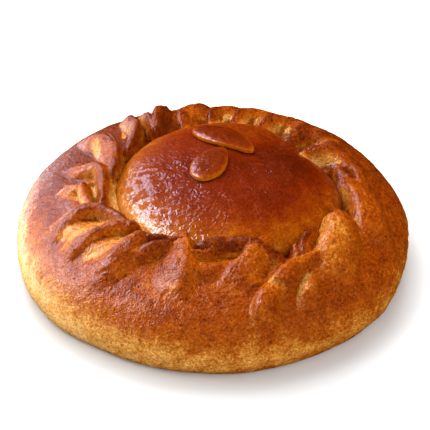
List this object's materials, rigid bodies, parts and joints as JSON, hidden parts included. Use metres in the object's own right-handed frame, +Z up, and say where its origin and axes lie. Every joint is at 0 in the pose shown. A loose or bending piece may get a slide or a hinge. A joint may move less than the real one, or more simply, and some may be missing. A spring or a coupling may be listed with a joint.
{
  "type": "cabbage and mackerel pie",
  "caption": "Whole round yeast-dough pie with a tall rounded side, a rim of twisted folds laid over the edge of a glossy domed lid, and dough leaves on the dome.",
  "frame": {"origin": "middle of the underside, on the surface the pie stands on", "axes": "+Z up; -Y towards the viewer of the picture, the front; +X to the right of the picture"},
  "size_m": [0.2559, 0.2546, 0.0699],
  "materials": {
    "base_crust": "baked wheat dough, golden brown and satin, darker on the folds and pale gold down the side",
    "lid_crust": "egg-glazed baked dough, glossy, deep reddish brown at the crown and orange at the front",
    "leaf": "egg-glazed baked dough, dark reddish brown and glossy with paler sides"
  },
  "bodies": {
    "root": {"base_crust": "base_crust", "lid_crust": "lid_crust", "leaf_far": "leaf", "leaf_near": "leaf"}
  },
  "joints": []
}
